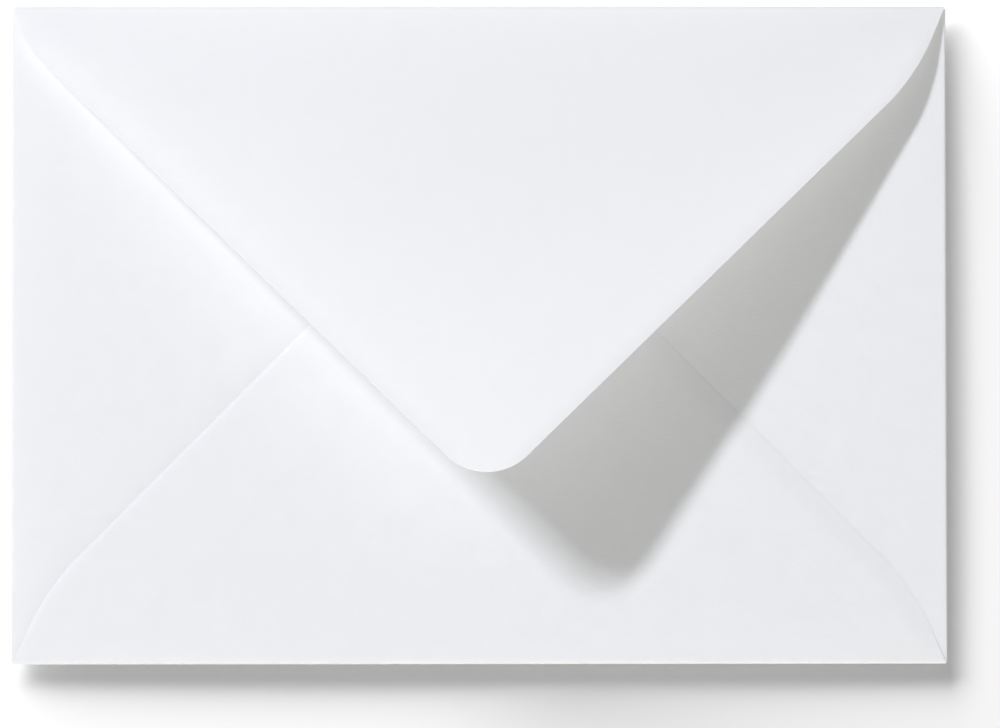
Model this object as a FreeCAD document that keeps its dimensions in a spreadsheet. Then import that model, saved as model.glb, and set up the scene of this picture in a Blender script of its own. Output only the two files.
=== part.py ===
import FreeCAD, Part
import math
import os
import Sketcher

os.makedirs("parts", exist_ok=True)
doc = FreeCAD.newDocument("paper_envelope")

# A diagonal-seam envelope folded from one die-cut sheet. It lies on its front panel with
# the pocket above it. The two side flaps fold in first, the bottom flap is glued over them,
# and the closing flap stands a little open above all of them. X runs along the width, Y
# from the bottom fold to the top fold, and Z upwards from the front panel's outer face.
driving_sizes = {
    "envelope_width": 162,
    "envelope_height": 114,
    "paper_thickness": 0.16,
    "pocket_gap": 1.0,
    "corner_relief": 0.1,
    "closing_flap_opening": 14,
    "side_flap_gap": 30,
    "side_flap_lead_reach": 12,
    "side_flap_lead_inset": 0.8,
    "side_flap_shoulder_radius": 9,
    "side_flap_tip_radius": 12,
    "bottom_flap_length": 83.7,
    "bottom_flap_lead_reach": 5.5,
    "bottom_flap_lead_inset": 2,
    "bottom_flap_shoulder_radius": 30,
    "bottom_flap_tip_radius": 9.7,
    "closing_flap_length": 82.7,
    "closing_flap_left_lead_reach": 4.2,
    "closing_flap_left_lead_inset": 1.05,
    "closing_flap_left_shoulder_radius": 10,
    "closing_flap_right_lead_reach": 4.6,
    "closing_flap_right_lead_inset": 1.4,
    "closing_flap_right_shoulder_radius": 27,
    "closing_flap_tip_radius": 9.7,
    "closing_flap_tip_shift": 1.25,
}
sheet = doc.addObject("Spreadsheet::Sheet", "sizes")
for row, (alias, size) in enumerate(driving_sizes.items(), start=1):
    sheet.set(f"A{row}", alias)
    sheet.set(f"B{row}", str(size))
    sheet.setAlias(f"B{row}", alias)
doc.recompute()


def fold_radius(layers):
    """Outside radius of a fold that wraps the pocket and this many layers of paper."""
    return f"((sizes.pocket_gap + {layers} * sizes.paper_thickness) / 2)"


# The side folds wrap the front panel and a side flap, the bottom fold also its own flap,
# and the top fold also the closing flap, as if that flap were shut.
side_radius = fold_radius(2)
bottom_radius = fold_radius(3)
top_radius = fold_radius(4)

left_edge = f"(-sizes.envelope_width / 2 + {side_radius})"
bottom_edge = f"(-sizes.envelope_height / 2 + {bottom_radius})"
top_edge = f"(sizes.envelope_height / 2 - {top_radius})"
side_fold_span = f"({top_edge} - {bottom_edge} - 2 * sizes.corner_relief)"
cross_fold_span = f"(-2 * {left_edge} - 2 * sizes.corner_relief)"

x_axis = FreeCAD.Vector(1, 0, 0)
y_axis = FreeCAD.Vector(0, 1, 0)
z_axis = FreeCAD.Vector(0, 0, 1)
half_turn = 180


def number(formula):
    """Value of a formula that reads the sheet."""
    value = sheet.evalExpression(formula)
    return float(getattr(value, "Value", value))


def origin_plane(body, role):
    return next(plane for plane in body.Origin.OriginFeatures if plane.Role == role)


def new_sketch(body, name, role, turn=FreeCAD.Rotation(), **offsets):
    """Sketch on an origin plane, turned and moved by formulas for x, y, z or the angle."""
    sketch = body.newObject("Sketcher::SketchObject", name)
    sketch.AttachmentSupport = [(origin_plane(body, role), "")]
    sketch.MapMode = "FlatFace"
    sketch.AttachmentOffset = FreeCAD.Placement(FreeCAD.Vector(), turn)
    for direction, formula in offsets.items():
        path = "Rotation.Angle" if direction == "angle" else f"Base.{direction}"
        sketch.setExpression(f"AttachmentOffset.{path}", formula)
    return sketch


def bind(sketch, name, formula, kind, *geometry):
    """Dimension of a sketch, named and tied to a formula."""
    index = sketch.addConstraint(Sketcher.Constraint(kind, *geometry, number(formula)))
    sketch.renameConstraint(index, name)
    sketch.setExpression(f"Constraints.{name}", formula)


def pad(body, sketch, name, length):
    leaf = body.newObject("PartDesign::Pad", name)
    leaf.Profile = sketch
    leaf.setExpression("Length", length)
    sketch.Visibility = False
    return leaf


def add_front_panel(body):
    sketch = new_sketch(body, "front_outline", "XY_Plane")
    left, bottom, top = number(left_edge), number(bottom_edge), number(top_edge)
    corners = [(left, bottom), (-left, bottom), (-left, top), (left, top)]
    points = [FreeCAD.Vector(x, y, 0) for x, y in corners]
    for start, end in zip(points, points[1:] + points[:1]):
        sketch.addGeometry(Part.LineSegment(start, end))
    for side in range(4):
        sketch.addConstraint(Sketcher.Constraint("Coincident", side, 2, (side + 1) % 4, 1))
    for side, direction in enumerate(("Horizontal", "Vertical", "Horizontal", "Vertical")):
        sketch.addConstraint(Sketcher.Constraint(direction, side))
    bind(sketch, "left", f"-{left_edge}", "DistanceX", 0, 1, -1, 1)
    bind(sketch, "right", f"-{left_edge}", "DistanceX", -1, 1, 0, 2)
    bind(sketch, "bottom", f"-{bottom_edge}", "DistanceY", 0, 1, -1, 1)
    bind(sketch, "top", top_edge, "DistanceY", -1, 1, 2, 1)
    return pad(body, sketch, "front_panel", "sizes.paper_thickness")


def draw_fold(sketch, radius, opening=None):
    """Paper's section round a fold: it leaves the panel at the sketch's origin."""
    outer, inner = number(radius), number(radius) - number("sizes.paper_thickness")
    spare = math.radians(number(opening)) if opening else 0
    centre = FreeCAD.Vector(0, outer, 0)
    for reach in (outer, inner):
        circle = Part.Circle(centre, z_axis, reach)
        sketch.addGeometry(Part.ArcOfCircle(circle, -math.pi / 2, math.pi / 2 - spare))
    outside, inside = sketch.Geometry
    sketch.addGeometry(Part.LineSegment(outside.StartPoint, inside.StartPoint))
    sketch.addGeometry(Part.LineSegment(outside.EndPoint, inside.EndPoint))
    for line, arc_end in ((2, 1), (3, 2)):
        sketch.addConstraint(Sketcher.Constraint("Coincident", line, 1, 0, arc_end))
        sketch.addConstraint(Sketcher.Constraint("Coincident", line, 2, 1, arc_end))
    sketch.addConstraint(Sketcher.Constraint("Coincident", 0, 3, 1, 3))
    sketch.addConstraint(Sketcher.Constraint("Coincident", 0, 1, -1, 1))
    sketch.addConstraint(Sketcher.Constraint("PointOnObject", 0, 3, -2))
    sketch.addConstraint(Sketcher.Constraint("PointOnObject", 1, 1, -2))
    sketch.addConstraint(Sketcher.Constraint("PointOnObject", 0, 3, 3))
    bind(sketch, "radius", radius, "Radius", 0)
    bind(sketch, "paper", "sizes.paper_thickness", "DistanceY", 2, 1, 2, 2)
    if opening:
        bind(sketch, "opening", f"{radius} * sin({opening})", "DistanceX", -1, 1, 0, 2)
    else:
        sketch.addConstraint(Sketcher.Constraint("PointOnObject", 0, 2, -2))


def flap_side(corner, inward, shoulder, tip_centre, tip_radius):
    """Points and directions of one side of a flap, where its lead, shoulder curve and
    straight diagonal meet. The diagonal touches both the shoulder's and the tip's circle."""
    reach, inset = number(f"sizes.{shoulder}_lead_reach"), number(f"sizes.{shoulder}_lead_inset")
    radius = number(f"sizes.{shoulder}_shoulder_radius")
    lean = math.atan2(inset, reach)
    lead_end = corner + FreeCAD.Vector(inward * inset, reach, 0)
    centre = lead_end + radius * FreeCAD.Vector(inward * math.cos(lean), -math.sin(lean), 0)
    across = tip_centre - centre
    slant = math.atan2(inward * across.x, across.y)
    slant += math.asin((radius - tip_radius) / across.Length)
    outward = FreeCAD.Vector(-inward * math.cos(slant), math.sin(slant), 0)
    diagonal = Part.LineSegment(centre + radius * outward, tip_centre + tip_radius * outward)
    sweep = (math.pi - slant, math.pi - lean) if inward > 0 else (lean, slant)
    curve = Part.ArcOfCircle(Part.Circle(centre, z_axis, radius), *sweep)
    return slant, (Part.LineSegment(corner, lead_end), curve, diagonal)


def draw_flap(sketch, flap, base, length, shoulders=None, shift=None):
    """Outline of a flap that grows from its fold along the sketch's Y axis. The two
    shoulders are the flap's own, unless the left and the right one have other names."""
    left_shoulder, right_shoulder = shoulders or (flap, flap)
    half_base = number(base) / 2
    tip_radius = number(f"sizes.{flap}_tip_radius")
    tip_rise = f"({length} - sizes.{flap}_tip_radius)"
    tip_centre = FreeCAD.Vector(number(shift) if shift else 0, number(tip_rise), 0)
    left_corner = FreeCAD.Vector(-half_base, 0, 0)
    right_corner = FreeCAD.Vector(half_base, 0, 0)
    left_slant, left_side = flap_side(left_corner, 1, left_shoulder, tip_centre, tip_radius)
    right_slant, right_side = flap_side(right_corner, -1, right_shoulder, tip_centre, tip_radius)
    tip_circle = Part.Circle(tip_centre, z_axis, tip_radius)
    fold_line = sketch.addGeometry(Part.LineSegment(left_corner, right_corner))
    left = sketch.addGeometry(list(left_side))
    right = sketch.addGeometry(list(right_side))
    tip = sketch.addGeometry(Part.ArcOfCircle(tip_circle, right_slant, math.pi - left_slant))

    sketch.addConstraint(Sketcher.Constraint("Horizontal", fold_line))
    sketch.addConstraint(Sketcher.Constraint("Symmetric", fold_line, 1, fold_line, 2, -1, 1))
    bind(sketch, "base", base, "DistanceX", fold_line, 1, fold_line, 2)
    bind(sketch, "left_inset", f"sizes.{left_shoulder}_lead_inset", "DistanceX",
         fold_line, 1, left[0], 2)
    bind(sketch, "right_inset", f"sizes.{right_shoulder}_lead_inset", "DistanceX",
         right[0], 2, fold_line, 2)
    # Point 1 starts and point 2 ends a line or an arc, and arcs run anticlockwise.
    for side, shoulder, (lead, curve, diagonal), first, last in (
            ("left", left_shoulder, left, 1, 2), ("right", right_shoulder, right, 2, 1)):
        sketch.addConstraint(Sketcher.Constraint("Coincident", lead, 1, fold_line, first))
        sketch.addConstraint(Sketcher.Constraint("Tangent", lead, 2, curve, last))
        sketch.addConstraint(Sketcher.Constraint("Tangent", curve, first, diagonal, 1))
        sketch.addConstraint(Sketcher.Constraint("Tangent", diagonal, 2, tip, last))
        bind(sketch, f"{side}_reach", f"sizes.{shoulder}_lead_reach", "DistanceY",
             lead, 1, lead, 2)
        bind(sketch, f"{side}_shoulder", f"sizes.{shoulder}_shoulder_radius", "Radius", curve)
    bind(sketch, "tip_radius", f"sizes.{flap}_tip_radius", "Radius", tip)
    bind(sketch, "tip_rise", tip_rise, "DistanceY", -1, 1, tip, 3)
    if shift:
        bind(sketch, "tip_shift", shift, "DistanceX", -1, 1, tip, 3)
    else:
        sketch.addConstraint(Sketcher.Constraint("PointOnObject", tip, 3, -2))


def add_side_flaps(body):
    """Left fold and flap, then both mirrored to the right."""
    start = f"({bottom_edge} + sizes.corner_relief)"
    turned = FreeCAD.Rotation(y_axis, half_turn)
    section = new_sketch(body, "side_fold_section", "XZ_Plane", turned, x=left_edge,
                         z=f"-{start}")
    draw_fold(section, side_radius)
    fold = pad(body, section, "side_fold", side_fold_span)

    folded_in = FreeCAD.Rotation(x_axis + y_axis, half_turn)
    outline = new_sketch(body, "side_flap_outline", "XY_Plane", folded_in, x=left_edge,
                         y=f"({top_edge} + {bottom_edge}) / 2", z=f"2 * {side_radius}")
    length = f"((sizes.envelope_width - sizes.side_flap_gap) / 2 - {side_radius})"
    draw_flap(outline, "side_flap", side_fold_span, length)
    flap = pad(body, outline, "side_flap", "sizes.paper_thickness")

    mirrored = body.newObject("PartDesign::Mirrored", "right_side")
    mirrored.Originals = [fold, flap]
    mirrored.MirrorPlane = (origin_plane(body, "YZ_Plane"), [""])
    body.Tip = mirrored


def add_bottom_flap(body):
    turned = FreeCAD.Rotation(y_axis, half_turn)
    section = new_sketch(body, "bottom_fold_section", "YZ_Plane", turned, x=bottom_edge)
    draw_fold(section, bottom_radius)
    fold = pad(body, section, "bottom_fold", cross_fold_span)
    fold.Midplane = True

    outline = new_sketch(body, "bottom_flap_outline", "XY_Plane", turned,
                         y=bottom_edge, z=f"2 * {bottom_radius}")
    draw_flap(outline, "bottom_flap", cross_fold_span, "sizes.bottom_flap_length")
    pad(body, outline, "bottom_flap", "sizes.paper_thickness")


def add_closing_flap(body):
    """The fold stops short of a half turn by the angle at which the flap stands open."""
    opening = "sizes.closing_flap_opening"
    section = new_sketch(body, "top_fold_section", "YZ_Plane", x=top_edge)
    draw_fold(section, top_radius, opening)
    fold = pad(body, section, "top_fold", cross_fold_span)
    fold.Midplane = True

    turned = FreeCAD.Rotation(x_axis, half_turn)
    outline = new_sketch(body, "closing_flap_outline", "XY_Plane", turned,
                         y=f"{top_edge} + {top_radius} * sin({opening})",
                         z=f"{top_radius} * (1 + cos({opening}))",
                         angle=f"{half_turn} - {opening}")
    draw_flap(outline, "closing_flap", cross_fold_span, "sizes.closing_flap_length",
              ("closing_flap_left", "closing_flap_right"), "sizes.closing_flap_tip_shift")
    pad(body, outline, "closing_flap", "sizes.paper_thickness")


envelope = doc.addObject("PartDesign::Body", "envelope")
envelope.Label = "envelope"
add_front_panel(envelope)
add_side_flaps(envelope)
add_bottom_flap(envelope)
add_closing_flap(envelope)
doc.recompute()

for item in doc.Objects:
    if "Invalid" in item.State or "Error" in item.State:
        raise RuntimeError(f"{item.Name} did not recompute: {item.State}")
for sketch in doc.findObjects("Sketcher::SketchObject"):
    if sketch.solve() != 0:
        raise RuntimeError(f"{sketch.Name} could not be solved")
shape = envelope.Shape
if shape.isNull() or not shape.isValid() or len(shape.Solids) != 1:
    raise RuntimeError("the folded sheet is not one valid solid")

shape.exportStep(f"parts/{envelope.Label}.step")
box = shape.BoundBox
print(f"{envelope.Label}: {box.XLength:.2f} x {box.YLength:.2f} x {box.ZLength:.2f} mm, "
      f"{shape.Volume:.1f} mm3")
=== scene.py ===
import math
import bmesh
import bpy
from mathutils import Matrix, Vector, noise


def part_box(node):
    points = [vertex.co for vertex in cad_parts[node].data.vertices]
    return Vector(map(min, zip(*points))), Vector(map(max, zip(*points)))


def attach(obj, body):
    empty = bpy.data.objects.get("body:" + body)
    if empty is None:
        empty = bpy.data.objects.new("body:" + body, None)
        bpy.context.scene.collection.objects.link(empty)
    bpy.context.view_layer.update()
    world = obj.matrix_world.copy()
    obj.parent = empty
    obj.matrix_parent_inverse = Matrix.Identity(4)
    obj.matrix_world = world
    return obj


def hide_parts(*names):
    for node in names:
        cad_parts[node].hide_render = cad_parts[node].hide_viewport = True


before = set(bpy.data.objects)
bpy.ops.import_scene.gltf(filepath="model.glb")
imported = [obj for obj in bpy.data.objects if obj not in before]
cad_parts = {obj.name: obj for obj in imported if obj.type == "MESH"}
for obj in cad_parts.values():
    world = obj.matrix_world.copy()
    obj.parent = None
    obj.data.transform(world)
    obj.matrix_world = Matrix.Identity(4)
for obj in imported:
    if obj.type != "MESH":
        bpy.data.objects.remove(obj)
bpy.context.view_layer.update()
metresPerMm = 0.001
lowCorner, highCorner = [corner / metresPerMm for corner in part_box("envelope")]
print("frame loaded, envelope", [round(side, 2) for side in highCorner - lowCorner], "mm")


# Camera: nearly straight above the envelope, a little towards its bottom edge
cameraValues = {
    "imageWidth": 1000,
    "sensorWidth": 36,
    "pixelsPerMm": 5.76,
    "distance": 1100,
    "aim": (3.59, -4.99),
    "towardsBottom": 1.89,
    "towardsLeft": 0.31,
    "roll": 0.058,
    "clip": (0.01, 20),
}


def makeCamera(values):
    tilt, yaw, roll = (math.radians(values[key]) for key in ("towardsBottom", "towardsLeft", "roll"))
    back = Vector((-math.sin(yaw), -math.sin(tilt), 0))
    back.z = math.sqrt(1 - back.length_squared)
    right = Vector((math.sin(roll), math.cos(roll), 0)).cross(back).normalized()
    upward = back.cross(right)
    data = bpy.data.cameras.new("camera")
    data.sensor_width = values["sensorWidth"]
    focalPixels = values["pixelsPerMm"] * values["distance"]
    data.lens = focalPixels * values["sensorWidth"] / values["imageWidth"]
    data.clip_start, data.clip_end = values["clip"]
    camera = bpy.data.objects.new("camera", data)
    place = (Vector((*values["aim"], 0)) + values["distance"] * back) * metresPerMm
    turn = Matrix((right, upward, back)).transposed()
    camera.matrix_world = Matrix.Translation(place) @ turn.to_4x4()
    bpy.context.scene.collection.objects.link(camera)
    bpy.context.scene.camera = camera


makeCamera(cameraValues)
print("camera made")


# Sheet: one blank is cut flat, creased and folded. All in millimetres and degrees.
sheetValues = {
    "paper": 0.16,
    # The pocket's height at its corners, and what its folds and its middle add to that
    "cornerGap": 0.12,
    "edgeGap": 0.38,
    "pillow": 0.42,
    "gapPower": 3,
    # The empty envelope's bow, and the closing flap's
    "lift": 1.5,
    "arch": 0.5,
    "flapSettle": 25,
    # Where the flaps start: the gap at a corner, and the insets that their edges are drawn from
    "cornerRelief": 0.05,
    "longInset": 0.76,
    "sideInset": 0.88,
    # How finely the sheet is divided
    "foldStrip": 2,
    "foldSteps": 10,
    "gridPitch": 3,
    "gridClear": 1,
    "creaseSupport": 0.4,
    "roundSteps": (10, 16, 10),
    "rimLoops": (0.4, 1.2, 3.4),
    "weld": 0.002,
    "tolerance": 0.0001,
    # The rims start this far from the fold and change from left to right over this blend
    "rimStart": 6,
    "sideBlend": 8,
    # The bottom flap's glued rim is pressed down, over these widths left and right, and the flap
    # stands off a little inside it
    "press": 0.135,
    "pressWidths": (0.75, 3.4),
    "crown": 0.09,
    # The closing flap's free rim curls
    "curl": 0.2,
    "curlWidth": 1.2,
    # The side flaps and the bottom flap are slowly uneven
    "wave": 0.08,
    "waveLength": 45,
    "waveSlice": 40,
    "wavePower": 4,
    # Each shoulder is (reach of its lead, inset of its lead, radius of its curve)
    "flaps": {
        "side": {"length": 65.3, "tipRadius": 12, "tipShift": 0,
                 "shoulders": ((12, 0.8, 9), (12, 0.8, 9))},
        "bottom": {"length": 83.7, "tipRadius": 9.7, "tipShift": 0,
                   "shoulders": ((5.5, 2, 30), (5.5, 2, 30))},
        "closing": {"length": 82.8, "tipRadius": 9.7, "tipShift": 1.25,
                    "shoulders": ((4.2, 1.05, 10), (4.6, 1.4, 27))},
    },
}
# Layers of paper that each fold wraps
sideLayers, bottomLayers, topLayers = 2, 3, 4
halfWidth, halfHeight = highCorner.x, highCorner.y
paper = sheetValues["paper"]
strip = sheetValues["foldStrip"]


def pocketGap(x, y):
    # Thin at the corners, wider along the folds and widest in the middle
    power = sheetValues["gapPower"]
    across = 1 - min(abs(x) / halfWidth, 1) ** power
    along = 1 - min(abs(y) / halfHeight, 1) ** power
    gap = sheetValues["cornerGap"] + sheetValues["edgeGap"] * (across + along)
    return gap + sheetValues["pillow"] * across * along


def frontLift(x, y):
    # The empty envelope bows, so it lies on its middle and its edges stand clear
    level = (1 - (x / halfWidth) ** 2) * (1 - (y / halfHeight) ** 2)
    return sheetValues["lift"] * (1 - level)


def foldRadius(x, y, layers):
    return (pocketGap(x, y) + layers * paper) / 2


creaseX = halfWidth - foldRadius(halfWidth, halfHeight, sideLayers)
creaseTop = halfHeight - foldRadius(halfWidth, halfHeight, topLayers)
creaseBottom = -halfHeight + foldRadius(halfWidth, halfHeight, bottomLayers)
# The flap's tip reaches the frame's top, whatever the bow adds under its hinge
hingeRadius = foldRadius(0, halfHeight, topLayers)
hingeLift = frontLift(0, halfHeight)
closingLength = sheetValues["flaps"]["closing"]["length"]
openAngle = math.asin((highCorner.z - hingeLift - 2 * hingeRadius) / closingLength)


def flapCorners(flap, base, drawnBase):
    # Sharp corners of a flap and how far each is rounded back along its edges
    tipCentre = Vector((flap["tipShift"], flap["length"] - flap["tipRadius"]))
    lines, rounds, slants = [], [], []
    for inward, (reach, inset, radius) in zip((1, -1), flap["shoulders"]):
        lean = math.atan2(inset, reach)
        leadEnd = Vector((-inward * (drawnBase - inset), reach))
        centre = leadEnd + radius * Vector((inward * math.cos(lean), -math.sin(lean)))
        across = tipCentre - centre
        slant = math.atan2(inward * across.x, across.y)
        slant += math.asin((radius - flap["tipRadius"]) / across.length)
        outward = Vector((-inward * math.cos(slant), math.sin(slant)))
        onDiagonal = tipCentre + flap["tipRadius"] * outward
        along = Vector((inward * math.sin(slant), math.cos(slant)))
        lines.append((Vector((-inward * base, 0)), leadEnd, onDiagonal, along))
        rounds.append(radius * math.tan((slant - lean) / 2))
        slants.append(slant)

    def cross(point, direction, otherPoint, otherDirection):
        gap = otherPoint - point
        return point + direction * (gap.cross(otherDirection) / direction.cross(otherDirection))

    shoulders = [cross(corner, leadEnd - corner, onDiagonal, along)
                 for corner, leadEnd, onDiagonal, along in lines]
    apex = cross(lines[0][2], lines[0][3], lines[1][2], lines[1][3])
    tipRound = flap["tipRadius"] * math.tan(sum(slants) / 2)
    corners = [lines[0][0], shoulders[0], apex, shoulders[1], lines[1][0]]
    return corners, (rounds[0], tipRound, rounds[1])


def addFlap(sheet, flap, base, drawnBase):
    # A polygon from the fold outwards, its shoulders and tip rounded, then loops inside its rim.
    # The layer "rim" keeps how far from the cut edge a vertex lies, up to the last loop.
    corners, rounds = flapCorners(flap, base, drawnBase)
    verts = [sheet.verts.new((point.x, point.y, 0)) for point in corners]
    sheet.faces.new(verts)
    for vert, offset, steps in zip(verts[1:4], rounds, sheetValues["roundSteps"]):
        bmesh.ops.bevel(sheet, geom=[vert], offset=offset, offset_type="OFFSET", segments=steps,
                        profile=0.5, affect="VERTICES", material=-1)
    rim = sheet.verts.layers.float.new("rim")
    depth = 0
    for nextDepth in sheetValues["rimLoops"]:
        inner = max(sheet.faces, key=lambda face: face.calc_area())
        bmesh.ops.inset_region(sheet, faces=[inner], thickness=nextDepth - depth,
                               use_boundary=True, use_even_offset=True)
        inner = max(sheet.faces, key=lambda face: face.calc_area())
        for vert in inner.verts:
            vert[rim] = nextDepth
        depth = nextDepth


def joinInto(sheet, part):
    mesh = bpy.data.meshes.new("part")
    part.to_mesh(mesh)
    part.free()
    sheet.from_mesh(mesh)
    bpy.data.meshes.remove(mesh)


def cutLines(sheet, base, sideBase, sideMiddle):
    # Straight cuts right across: at the corners, close together in the folds, and on a grid
    pitch, steps, support = (sheetValues[key] for key in ("gridPitch", "foldSteps", "creaseSupport"))
    reach = max(vert.co.length for vert in sheet.verts)
    lines = {0: {base, -base}, 1: {sideMiddle + sideBase, sideMiddle - sideBase}}
    for axis, creases in ((0, (creaseX, -creaseX)), (1, (creaseTop, creaseBottom))):
        for crease in creases:
            side = math.copysign(1, crease)
            lines[axis].update(crease + side * strip * step / steps for step in range(steps + 1))
            lines[axis].update((crease - side * support, crease + side * (strip + support)))
        first = -round(reach / pitch)
        for step in range(first, -first + 1):
            line = step * pitch
            if all(abs(line - other) > sheetValues["gridClear"] for other in lines[axis]):
                lines[axis].add(line)
    for axis, places in lines.items():
        normal = Vector((1, 0, 0)) if axis == 0 else Vector((0, 1, 0))
        for line in sorted(places):
            everything = [*sheet.verts, *sheet.edges, *sheet.faces]
            bmesh.ops.bisect_plane(sheet, geom=everything, dist=sheetValues["tolerance"],
                                   plane_co=normal * line, plane_no=normal)


def buildBlank():
    sheet = bmesh.new()
    sheet.verts.layers.float.new("rim")
    base = creaseX - sheetValues["cornerRelief"]
    sideBase = (creaseTop - creaseBottom) / 2 - sheetValues["cornerRelief"]
    sideMiddle = (creaseTop + creaseBottom) / 2
    drawn = halfWidth - sheetValues["longInset"]
    drawnSide = halfHeight - sheetValues["sideInset"]
    for name, half, drawnHalf, place, turn in (
            ("bottom", base, drawn, (0, creaseBottom - strip), 180),
            ("closing", base, drawn, (0, creaseTop + strip), 0),
            ("side", sideBase, drawnSide, (-creaseX - strip, sideMiddle), 90),
            ("side", sideBase, drawnSide, (creaseX + strip, sideMiddle), -90)):
        part = bmesh.new()
        addFlap(part, sheetValues["flaps"][name], half, drawnHalf)
        spot = Matrix.Translation((*place, 0)) @ Matrix.Rotation(math.radians(turn), 4, "Z")
        bmesh.ops.transform(part, matrix=spot, verts=part.verts)
        joinInto(sheet, part)
    for centre, halfX, halfY in (
            ((0, sideMiddle), creaseX, (creaseTop - creaseBottom) / 2),
            ((0, creaseTop + strip / 2), base, strip / 2),
            ((0, creaseBottom - strip / 2), base, strip / 2),
            ((creaseX + strip / 2, sideMiddle), strip / 2, sideBase),
            ((-creaseX - strip / 2, sideMiddle), strip / 2, sideBase)):
        place = Matrix.Translation((*centre, 0)) @ Matrix.Diagonal((halfX, halfY, 1, 1))
        bmesh.ops.create_grid(sheet, x_segments=1, y_segments=1, size=1, matrix=place)
    cutLines(sheet, base, sideBase, sideMiddle)
    bmesh.ops.remove_doubles(sheet, verts=sheet.verts, dist=sheetValues["weld"])
    # The side that will be outside faces down
    bmesh.ops.recalc_face_normals(sheet, faces=sheet.faces)
    sheet.faces.ensure_lookup_table()
    if sheet.faces[0].normal.z > 0:
        bmesh.ops.reverse_faces(sheet, faces=sheet.faces)
    return sheet


def wave(x, y):
    # Slow unevenness that dies out towards the folds
    power = sheetValues["wavePower"]
    free = (1 - (x / halfWidth) ** power) * (1 - (y / halfHeight) ** power)
    spot = Vector((x, y, sheetValues["waveSlice"])) / sheetValues["waveLength"]
    return sheetValues["wave"] * noise.noise(spot) * max(free, 0)


def frontPoint(x, y):
    sideRadius = foldRadius(halfWidth, y, sideLayers)
    endRadius = foldRadius(x, halfHeight, topLayers if y > 0 else bottomLayers)
    crease = creaseTop if y > 0 else -creaseBottom
    place = Vector((x * (halfWidth - sideRadius) / creaseX, y * (halfHeight - endRadius) / crease, 0))
    place.z = frontLift(place.x, place.y)
    return place


def bendPoint(reach, radius, angle):
    # Out and up from the crease, for a share of the fold's strip
    turn = angle * reach / strip
    return radius * math.sin(turn), radius * (1 - math.cos(turn))


def sidePoint(x, y):
    side, reach = math.copysign(1, x), abs(x) - creaseX
    radius = foldRadius(halfWidth, y, sideLayers)
    start = halfWidth - radius
    if reach <= strip:
        out, rise = bendPoint(reach, radius, math.pi)
        return Vector((side * (start + out), y, frontLift(start, y) + rise))
    place = Vector((side * (start - (reach - strip)), y, 0))
    place.z = frontLift(place.x, y) + pocketGap(place.x, y) + sideLayers * paper + wave(place.x, y)
    return place


def pressedRim(x, along, rim):
    # How far the bottom flap stands off the layers under it, and the share of thickness it loses.
    # Its glued rim is pressed down, steeply on the left and gently on the right.
    narrow, wide = sheetValues["pressWidths"]
    blend = min(max(x / sheetValues["sideBlend"] / 2 + 0.5, 0), 1)
    share = max(1 - rim / (narrow + (wide - narrow) * blend), 0)
    start = min(max(along, 0) / sheetValues["rimStart"], 1)
    rise = sheetValues["crown"] * (1 - share) - sheetValues["press"] * share
    return start * rise, start * share * sheetValues["press"] / paper


def bottomPoint(x, y, rim):
    reach = creaseBottom - y
    radius = foldRadius(x, halfHeight, bottomLayers)
    start = -halfHeight + radius
    if reach <= strip:
        out, rise = bendPoint(reach, radius, math.pi)
        return Vector((x, start - out, frontLift(x, start) + rise))
    place = Vector((x, start + reach - strip, 0))
    place.z = frontLift(x, place.y) + pocketGap(x, place.y) + bottomLayers * paper
    place.z += wave(x, place.y) + pressedRim(x, reach - strip, rim)[0]
    return place


def closingPoint(x, y, rim):
    reach = y - creaseTop
    radius = foldRadius(x, halfHeight, topLayers)
    start = halfHeight - radius
    out, rise = bendPoint(min(reach, strip), radius, math.pi - openAngle)
    foldEnd = frontLift(x, start) + rise
    if reach <= strip:
        return Vector((x, start + out, foldEnd))
    # The fold follows the bow, and the flap settles to one height from side to side
    along = reach - strip
    middle = hingeLift + hingeRadius * (1 + math.cos(openAngle))
    height = middle + (foldEnd - middle) * math.exp(-along / sheetValues["flapSettle"])
    # Its fold is stiffer than its middle, so the flap arches a little on its way to the tip
    share = min(along / closingLength, 1)
    height += along * math.sin(openAngle) + sheetValues["arch"] * math.sin(math.pi * share)
    # Its free rim curls a little, up on the left and down on the right
    curl = max(1 - rim / sheetValues["curlWidth"], 0) * min(along / sheetValues["rimStart"], 1)
    height += sheetValues["curl"] * curl * max(min(-x / sheetValues["sideBlend"], 1), -1)
    return Vector((x, start + out - along * math.cos(openAngle), height))


def foldedPoint(point, rim):
    tolerance = sheetValues["tolerance"]
    if abs(point.x) > creaseX + tolerance:
        return sidePoint(point.x, point.y)
    if point.y > creaseTop + tolerance:
        return closingPoint(point.x, point.y, rim)
    if point.y < creaseBottom - tolerance:
        return bottomPoint(point.x, point.y, rim)
    return frontPoint(point.x, point.y)


def thicknessShare(point, rim):
    tolerance = sheetValues["tolerance"]
    along = creaseBottom - strip - point.y
    if abs(point.x) > creaseX + tolerance or along <= tolerance:
        return 1
    return 1 - pressedRim(point.x, along, rim)[1]


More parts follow.
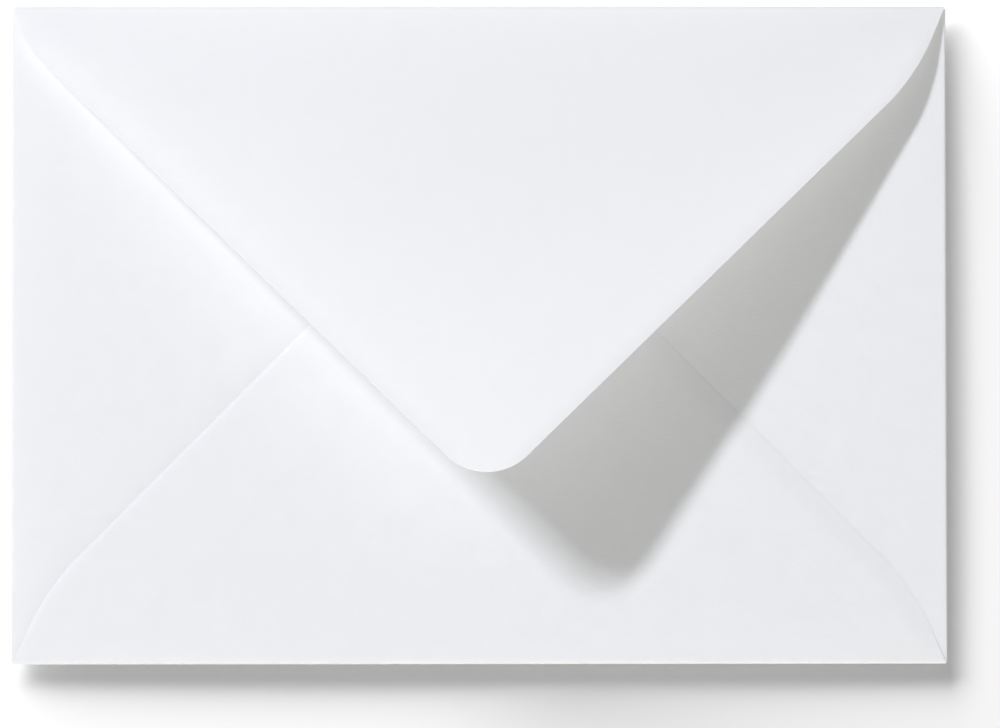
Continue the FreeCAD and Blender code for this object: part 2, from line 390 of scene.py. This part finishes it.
def makeEnvelope():
    sheet = buildBlank()
    blankLayer = sheet.verts.layers.float_vector.new("blank")
    rimLayer = sheet.verts.layers.float["rim"]
    weights = sheet.verts.layers.deform.verify()
    for vert in sheet.verts:
        rim = vert[rimLayer]
        vert[weights][0] = thicknessShare(vert.co, rim)
        vert[blankLayer] = vert.co * metresPerMm
        vert.co = foldedPoint(vert.co, rim) * metresPerMm
    for face in sheet.faces:
        face.smooth = True
    for edge in sheet.edges:
        edge.smooth = not edge.is_boundary
    mesh = bpy.data.meshes.new("foldedSheet")
    sheet.to_mesh(mesh)
    sheet.free()
    envelope = bpy.data.objects.new("foldedSheet", mesh)
    bpy.context.scene.collection.objects.link(envelope)
    envelope.vertex_groups.new(name="thickness")
    thickness = envelope.modifiers.new("paperThickness", "SOLIDIFY")
    thickness.vertex_group = "thickness"
    thickness.thickness = paper * metresPerMm
    thickness.offset = -1
    thickness.use_even_offset = True
    thickness.material_offset = 1
    thickness.material_offset_rim = 2
    print("sheet folded,", len(mesh.polygons), "faces")
    return envelope


envelope = makeEnvelope()


# Shader maths: a Term is a socket that can be added, multiplied and so on
class Term:
    def __init__(self, shader, socket):
        self.shader, self.socket = shader, socket

    def maths(self, operation, *others):
        return self.shader.term("ShaderNodeMath", {"operation": operation}, [self, *others])

    def __add__(self, other):
        return self.maths("ADD", other)

    def __sub__(self, other):
        return self.maths("SUBTRACT", other)

    def __rsub__(self, other):
        return self * -1 + other

    def __mul__(self, other):
        return self.maths("MULTIPLY", other)

    __radd__, __rmul__ = __add__, __mul__


class Shader:
    def __init__(self, tree):
        self.tree = tree
        self.tree.nodes.clear()

    def node(self, kind, settings=None, inputs=()):
        made = self.tree.nodes.new(kind)
        for key, value in (settings or {}).items():
            setattr(made, key, value)
        pairs = inputs.items() if isinstance(inputs, dict) else enumerate(inputs)
        for key, value in pairs:
            if isinstance(value, Term):
                self.tree.links.new(value.socket, made.inputs[key])
            else:
                made.inputs[key].default_value = value
        return made

    def term(self, kind, settings=None, inputs=(), output=0):
        return Term(self, self.node(kind, settings, inputs).outputs[output])

    def noise(self, place, scale, detail=0):
        # The blank is flat, so flat noise is enough
        return self.term("ShaderNodeTexNoise", {"noise_dimensions": "2D"},
                         {"Vector": place, "Scale": scale, "Detail": detail})


noiseMiddle = 0.5


def newMaterial(name):
    material = bpy.data.materials.new(name)
    material.use_nodes = True
    return material, Shader(material.node_tree)


# Paper: uncoated white stock, faintly cloudy, with short fibres. It lets some light through.
paperValues = {
    "outside": (0.865, 0.873, 0.905),
    "inside": (0.86, 0.865, 0.885),
    "cutEdge": (0.84, 0.845, 0.86),
    "through": (0.95, 0.94, 0.91, 1),
    "throughShare": 0.36,
    "throughCloud": 0.08,
    "roughness": 0.7,
    "sheen": 0.25,
    "cloudScale": 260,
    "cloudDetail": 2,
    "cloudDepth": 0.02,
    "fibreTurns": (0.45, -0.7),
    "fibreStretch": (650, 4200, 650),
    "fibreTone": 0.012,
    "fibreRoughness": 0.1,
    "fibreBump": 0.00002,
    # The folds' middles get rougher from wear, and a painted shade darkens their colour
    "foldWidth": 1.3,
    "foldPaintedShade": -0.2,
    "foldRoughness": 0.12,
}
# Gum: a dry band inside the diagonal edges of the closing flap. Each edge is given by where
# it would meet the fold.
gumValues = {
    "rightEdge": 87.9,
    "leftEdge": 85.43,
    "inset": 3,
    "width": 11,
    "start": 12,
    "soft": 0.4,
    "wobble": 0.9,
    "wobbleScale": 420,
    "colour": (0.855, 0.852, 0.85),
    "roughness": 0.34,
    "ripple": 0.000025,
    "rippleScale": 900,
}


def smoothStep(shader, value, low):
    return shader.term("ShaderNodeMapRange", {"interpolation_type": "SMOOTHSTEP"},
                       {"Value": value, "From Min": low, "From Max": low + gumValues["soft"]})


def foldShadeAndWear(x, y):
    # 1 on the middle of a fold, 0 away from it. It marks rougher wear, and where a painted shade
    # darkens the colour
    middle = strip / 2
    nearest = (x.maths("ABSOLUTE") - (creaseX + middle)).maths("ABSOLUTE")
    for line in (creaseTop + middle, creaseBottom - middle):
        nearest = nearest.maths("MINIMUM", (y - line).maths("ABSOLUTE"))
    return (1 - nearest * (1 / paperValues["foldWidth"])).maths("MAXIMUM", 0)


def gumBand(shader, blank, x, y):
    # Depth is how far inside the nearer diagonal edge, and both run at 45 degrees
    out = y - (creaseTop + strip)
    fromRight = gumValues["rightEdge"] - x - out
    fromLeft = gumValues["leftEdge"] + x - out
    depth = fromRight.maths("MINIMUM", fromLeft) * math.sqrt(0.5)
    wobble = shader.noise(blank, gumValues["wobbleScale"])
    depth = depth + (wobble - noiseMiddle) * gumValues["wobble"]
    begins = smoothStep(shader, depth, gumValues["inset"])
    ends = 1 - smoothStep(shader, depth, gumValues["inset"] + gumValues["width"])
    return begins * ends * smoothStep(shader, out, gumValues["start"])


def makePaper(name, colour, side):
    material, shader = newMaterial(name)
    blank = shader.term("ShaderNodeAttribute", {"attribute_name": "blank"}, output=1)
    parts = shader.node("ShaderNodeSeparateXYZ", None, [blank])
    x, y = (Term(shader, parts.outputs[axis]) * (1 / metresPerMm) for axis in (0, 1))
    cloud = shader.noise(blank, paperValues["cloudScale"], paperValues["cloudDetail"])
    strands = []
    for turn in paperValues["fibreTurns"]:
        turned = shader.term("ShaderNodeMapping", None, {
            "Vector": blank, "Rotation": (0, 0, turn), "Scale": paperValues["fibreStretch"]})
        strands.append(shader.noise(turned, 1))
    fibre = (strands[0] + strands[1]) * (1 / len(strands))
    tone = 1 + (cloud - noiseMiddle) * paperValues["cloudDepth"]
    tone = tone + (fibre - noiseMiddle) * paperValues["fibreTone"]
    roughness = (fibre - noiseMiddle) * paperValues["fibreRoughness"] + paperValues["roughness"]
    height = fibre * paperValues["fibreBump"]
    if side == "outer":
        shadeAndWearMask = foldShadeAndWear(x, y)
        # Painted shade: the colour darkens along the folds' middles, patchily with the cloud; the
        # roughness rise is wear
        tone = tone + shadeAndWearMask * cloud * paperValues["foldPaintedShade"]
        roughness = roughness + shadeAndWearMask * paperValues["foldRoughness"]
    tint = shader.term("ShaderNodeVectorMath", {"operation": "SCALE"}, {0: colour, "Scale": tone})
    if side == "inner":
        gum = gumBand(shader, blank, x, y)
        tint = shader.term("ShaderNodeMix", {"data_type": "VECTOR"}, {
            0: gum, 4: tint, 5: gumValues["colour"]}, output=1)
        roughness = roughness + gum * (gumValues["roughness"] - paperValues["roughness"])
        ripple = shader.noise(blank, gumValues["rippleScale"])
        height = height + gum * ripple * gumValues["ripple"]
    bump = shader.term("ShaderNodeBump", None, {"Strength": 1, "Distance": 1, "Height": height})
    front = shader.term("ShaderNodeBsdfPrincipled", None, {
        "Base Color": tint, "Roughness": roughness, "Specular IOR Level": paperValues["sheen"],
        "Normal": bump})
    behind = shader.term("ShaderNodeBsdfTranslucent", None, {"Color": paperValues["through"]})
    share = paperValues["throughShare"] + (cloud - noiseMiddle) * paperValues["throughCloud"]
    surface = shader.term("ShaderNodeMixShader", None, [share, front, behind])
    shader.node("ShaderNodeOutputMaterial", None, {"Surface": surface})
    return material


for name, key, side in (("outerPaper", "outside", "outer"), ("innerPaper", "inside", "inner"),
                        ("cutPaper", "cutEdge", "cut")):
    envelope.data.materials.append(makePaper(name, paperValues[key], side))
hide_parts("envelope")
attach(envelope, "root")
print("paper made")


# Studio: three lamps for the envelope, one for the floor alone, and a white floor.
# Lengths are in metres. A lamp's share of 1 lights a level white surface to 1.
lampValues = {
    "keyLamp": {"towards": (-0.756, 0.657), "elevation": 34.3, "distance": 1.8,
                "size": (0.41, 0.1), "share": 0.64, "colour": (0.937, 0.949, 1)},
    "frontLamp": {"towards": (0.25, -1), "elevation": 45, "distance": 2.5,
                  "size": (2, 2), "share": 0.6, "colour": (1, 1, 0.955)},
    "lowLamp": {"towards": (0.3, -1), "elevation": 3.4, "distance": 2.5,
                "size": (1.5, 0.25), "share": 0.038, "colour": (1, 0.97, 0.9)},
    "floorLamp": {"towards": (-0.55, 0.835), "elevation": 14.5, "distance": 2.5,
                  "size": (2.6, 1.26), "share": 0.82, "colour": (1, 1, 1)},
}
studioValues = {
    "worldStrength": 0.13,
    "floorSize": 6,
    "floorDrop": 0.00003,
    "floorTone": (0.85, 0.85, 0.85, 1),
    "floorGlow": 0.25,
    "white": (1, 1, 1, 1),
}


def addLamp(name, lamp, receiver):
    rise = math.radians(lamp["elevation"])
    level = Vector((*lamp["towards"], 0)).normalized()
    towards = level * math.cos(rise) + Vector((0, 0, math.sin(rise)))
    data = bpy.data.lights.new(name, "AREA")
    data.shape = "RECTANGLE"
    data.size, data.size_y = lamp["size"]
    data.color = lamp["colour"]
    data.energy = lamp["share"] * (math.pi * lamp["distance"]) ** 2 / math.sin(rise)
    made = bpy.data.objects.new(name, data)
    made.location = towards * lamp["distance"]
    made.rotation_euler = (-towards).to_track_quat("-Z", "Y").to_euler()
    made.visible_camera = False
    bpy.context.scene.collection.objects.link(made)
    lit = bpy.data.collections.new(name + "Lights")
    lit.objects.link(receiver)
    made.light_linking.receiver_collection = lit


def seenDirectly(shader):
    # 1 for the camera, for reflections and through clear things, 0 for light on its way.
    # Light that passes through paper counts as both transmission and diffuse.
    rays = shader.node("ShaderNodeLightPath")
    camera, glossy, clear, diffuse = (Term(shader, rays.outputs[f"Is {name} Ray"])
                                      for name in ("Camera", "Glossy", "Transmission", "Diffuse"))
    return camera.maths("MAXIMUM", glossy).maths("MAXIMUM", clear - diffuse)


def makeWorld(values):
    world = bpy.data.worlds.new("world")
    bpy.context.scene.world = world
    world.use_nodes = True
    shader = Shader(world.node_tree)
    strength = seenDirectly(shader) * (1 - values["worldStrength"]) + values["worldStrength"]
    sky = shader.term("ShaderNodeBackground", None, {"Color": values["white"], "Strength": strength})
    shader.node("ShaderNodeOutputWorld", None, {"Surface": sky})


def makeFloor(values):
    sheet = bmesh.new()
    bmesh.ops.create_grid(sheet, x_segments=1, y_segments=1, size=values["floorSize"] / 2,
                          matrix=Matrix.Translation((0, 0, -values["floorDrop"])))
    mesh = bpy.data.meshes.new("floor")
    sheet.to_mesh(mesh)
    sheet.free()
    floor = bpy.data.objects.new("floor", mesh)
    bpy.context.scene.collection.objects.link(floor)
    material, shader = newMaterial("floor")
    plain = shader.term("ShaderNodeBsdfDiffuse", None, {"Color": values["floorTone"]})
    bright = shader.term("ShaderNodeBsdfDiffuse", None, {"Color": values["white"]})
    glow = shader.term("ShaderNodeEmission", None,
                       {"Color": values["white"], "Strength": values["floorGlow"]})
    lit = shader.term("ShaderNodeAddShader", None, [bright, glow])
    surface = shader.term("ShaderNodeMixShader", None, [seenDirectly(shader), plain, lit])
    shader.node("ShaderNodeOutputMaterial", None, {"Surface": surface})
    floor.data.materials.append(material)
    return floor


makeWorld(studioValues)
floor = makeFloor(studioValues)
for name, lamp in lampValues.items():
    addLamp(name, lamp, floor if name == "floorLamp" else envelope)
bpy.context.scene.view_settings.view_transform = "Standard"
print("studio made")
